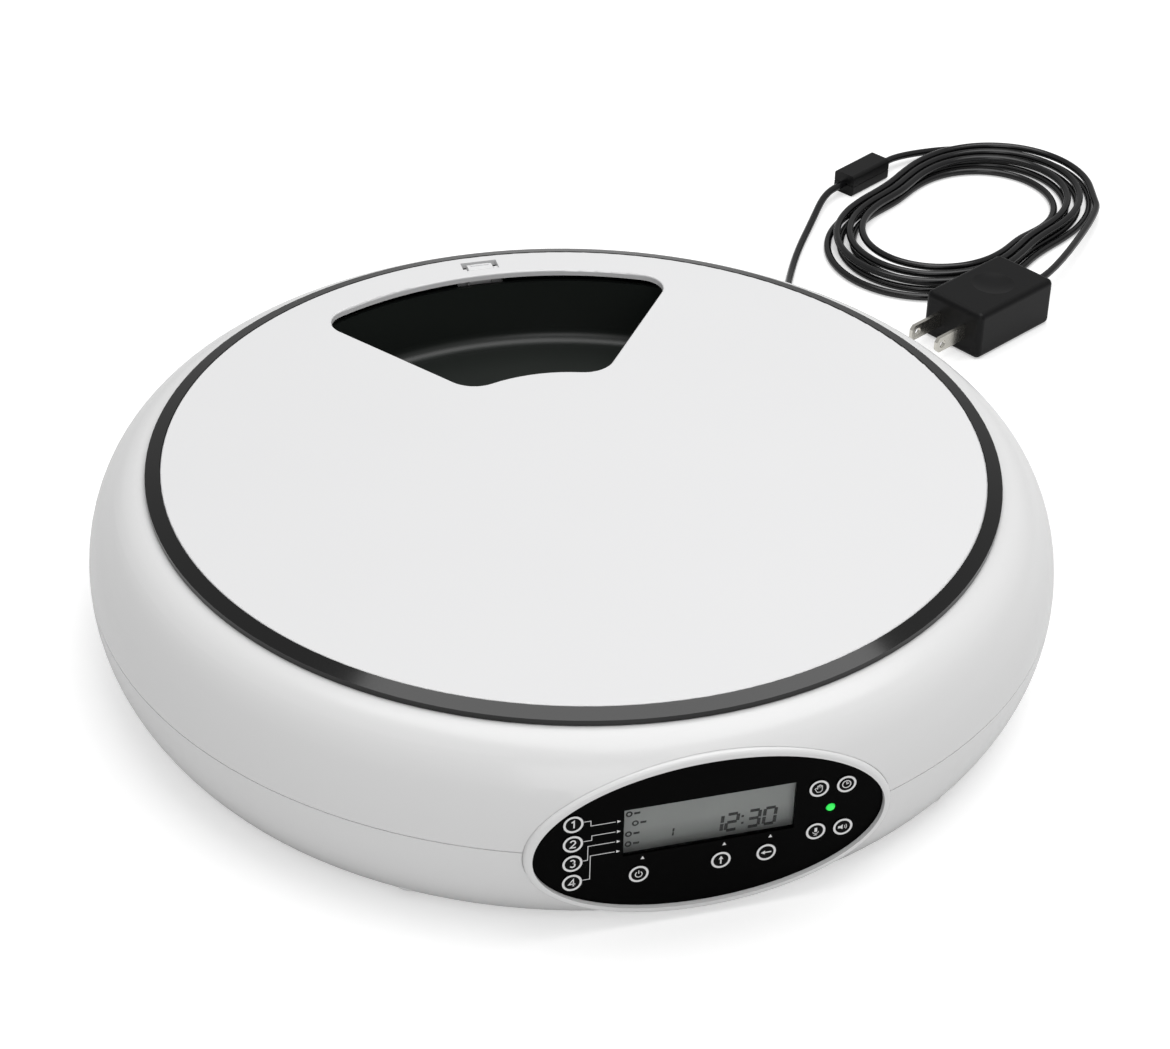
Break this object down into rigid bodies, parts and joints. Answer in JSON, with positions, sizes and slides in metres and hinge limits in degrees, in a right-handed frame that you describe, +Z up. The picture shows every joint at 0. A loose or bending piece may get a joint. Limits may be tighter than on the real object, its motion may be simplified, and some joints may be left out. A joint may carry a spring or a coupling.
{
  "type": "automatic pet feeder",
  "caption": "Low round automatic pet feeder: a motor turns a tray of five bowls under a lift-off lid with one food opening; timer panel with keys and display, mains adapter on a coiled cord.",
  "frame": {"origin": "on the floor under the tray's axis", "axes": "+Z up along the tray's axis, control panel facing -Y, food opening and lid latch towards +Y"},
  "size_m": [0.4627, 0.4478, 0.0696],
  "materials": {
    "body_white": "glossy white ABS",
    "lid_white": "satin light-grey white ABS",
    "black_gloss": "polished black",
    "tray_dark": "dark food-grade plastic",
    "display_pane": "clear pane",
    "display_cell": "grey display",
    "indicator_green": "translucent green",
    "key_black": "satin black with white marks",
    "circuit_board": "green board",
    "component_black": "moulded black",
    "steel": "zinc-plated steel",
    "bronze": "sintered bronze",
    "gear_plastic": "natural acetal",
    "foot_rubber": "soft rubber",
    "cord_black": "smooth black cord jacket",
    "adapter_black": "satin black",
    "nickel": "nickel-plated brass"
  },
  "bodies": {
    "housing": {"base_shell": "body_white", "upper_shell": "body_white", "rubber_feet": "foot_rubber", "housing_screws": "steel", "idler_pin": "steel", "gear_motor": "steel", "drive_bracket": "steel", "bracket_screws": "steel", "spindle_bush": "bronze", "panel_bezel": "body_white", "panel_fascia": "black_gloss", "lcd_window": "display_pane", "lcd_module": "display_cell", "led_lens": "indicator_green", "control_board": "circuit_board", "board_screws": "steel", "key_switches": "component_black", "microphone": "steel", "speaker": "component_black", "battery_door": "body_white", "door_screw": "steel", "battery_contacts": "steel", "battery_springs": "steel", "power_jack": "component_black", "dc_plug": "cord_black", "cord_lead": "cord_black", "ferrite_upper": "component_black", "ferrite_lower": "component_black", "cord_link": "cord_black", "cord_coil": "cord_black", "cord_tail": "cord_black", "adapter_sleeve": "cord_black", "adapter_case": "adapter_black", "adapter_blades": "nickel"},
    "tray": {"tray_plate": "tray_dark", "meal_bowl_1": "tray_dark", "meal_bowl_2": "tray_dark", "meal_bowl_3": "tray_dark", "meal_bowl_4": "tray_dark", "meal_bowl_5": "tray_dark", "drive_spindle": "gear_plastic", "output_gear": "gear_plastic"},
    "idler": {"idler_gear": "gear_plastic"},
    "pinion": {"motor_pinion": "gear_plastic"},
    "lid": {"lid_plate": "lid_white", "lid_rim": "black_gloss", "latch_pin": "steel"},
    "latch": {"lid_latch": "lid_white"},
    "key_meal_1": {"key_meal_1": "key_black"},
    "key_meal_2": {"key_meal_2": "key_black"},
    "key_meal_3": {"key_meal_3": "key_black"},
    "key_meal_4": {"key_meal_4": "key_black"},
    "key_power": {"key_power": "key_black"},
    "key_hour": {"key_hour": "key_black"},
    "key_minute": {"key_minute": "key_black"},
    "key_manual": {"key_manual": "key_black"},
    "key_timer": {"key_timer": "key_black"},
    "key_record": {"key_record": "key_black"},
    "key_play": {"key_play": "key_black"}
  },
  "joints": [
    {"name": "tray_turn", "type": "hinge", "parent": "housing", "child": "tray", "pos_m": [0, 0, 0.0362], "axis": [0, 0, 1], "continuous": true},
    {"name": "idler_turn", "type": "hinge", "parent": "housing", "child": "idler", "pos_m": [-0.03274, -0.0189, 0.0235], "axis": [0, 0, 1], "continuous": true},
    {"name": "pinion_turn", "type": "hinge", "parent": "housing", "child": "pinion", "pos_m": [-0.04136, -0.04258, 0.0215], "axis": [0, 0, 1], "continuous": true},
    {"name": "lid_lift", "type": "slide", "parent": "housing", "child": "lid", "axis": [0, 0, 1], "range_m": [0, 0.08]},
    {"name": "latch_press", "type": "hinge", "parent": "lid", "child": "latch", "pos_m": [0, 0.1267, 0.0666], "axis": [-1, 0, 0], "range_deg": [0, 7], "stiffness_Nm_per_rad": 0.02, "springref_deg": -2.86},
    {"name": "key_meal_1_press", "type": "slide", "parent": "housing", "child": "key_meal_1", "axis": [0, 1, 0], "range_m": [0, 0.0006], "stiffness_N_per_m": 400, "springref_m": -0.0006},
    {"name": "key_meal_2_press", "type": "slide", "parent": "housing", "child": "key_meal_2", "axis": [0, 1, 0], "range_m": [0, 0.0006], "stiffness_N_per_m": 400, "springref_m": -0.0006},
    {"name": "key_meal_3_press", "type": "slide", "parent": "housing", "child": "key_meal_3", "axis": [0, 1, 0], "range_m": [0, 0.0006], "stiffness_N_per_m": 400, "springref_m": -0.0006},
    {"name": "key_meal_4_press", "type": "slide", "parent": "housing", "child": "key_meal_4", "axis": [0, 1, 0], "range_m": [0, 0.0006], "stiffness_N_per_m": 400, "springref_m": -0.0006},
    {"name": "key_power_press", "type": "slide", "parent": "housing", "child": "key_power", "axis": [0, 1, 0], "range_m": [0, 0.0006], "stiffness_N_per_m": 400, "springref_m": -0.0006},
    {"name": "key_hour_press", "type": "slide", "parent": "housing", "child": "key_hour", "axis": [0, 1, 0], "range_m": [0, 0.0006], "stiffness_N_per_m": 400, "springref_m": -0.0006},
    {"name": "key_minute_press", "type": "slide", "parent": "housing", "child": "key_minute", "axis": [0, 1, 0], "range_m": [0, 0.0006], "stiffness_N_per_m": 400, "springref_m": -0.0006},
    {"name": "key_manual_press", "type": "slide", "parent": "housing", "child": "key_manual", "axis": [0, 1, 0], "range_m": [0, 0.0006], "stiffness_N_per_m": 400, "springref_m": -0.0006},
    {"name": "key_timer_press", "type": "slide", "parent": "housing", "child": "key_timer", "axis": [0, 1, 0], "range_m": [0, 0.0006], "stiffness_N_per_m": 400, "springref_m": -0.0006},
    {"name": "key_record_press", "type": "slide", "parent": "housing", "child": "key_record", "axis": [0, 1, 0], "range_m": [0, 0.0006], "stiffness_N_per_m": 400, "springref_m": -0.0006},
    {"name": "key_play_press", "type": "slide", "parent": "housing", "child": "key_play", "axis": [0, 1, 0], "range_m": [0, 0.0006], "stiffness_N_per_m": 400, "springref_m": -0.0006}
  ],
  "couplings": [
    {"joint": "idler_turn", "follows": "tray_turn", "ratio": -5},
    {"joint": "pinion_turn", "follows": "tray_turn", "ratio": 15}
  ]
}
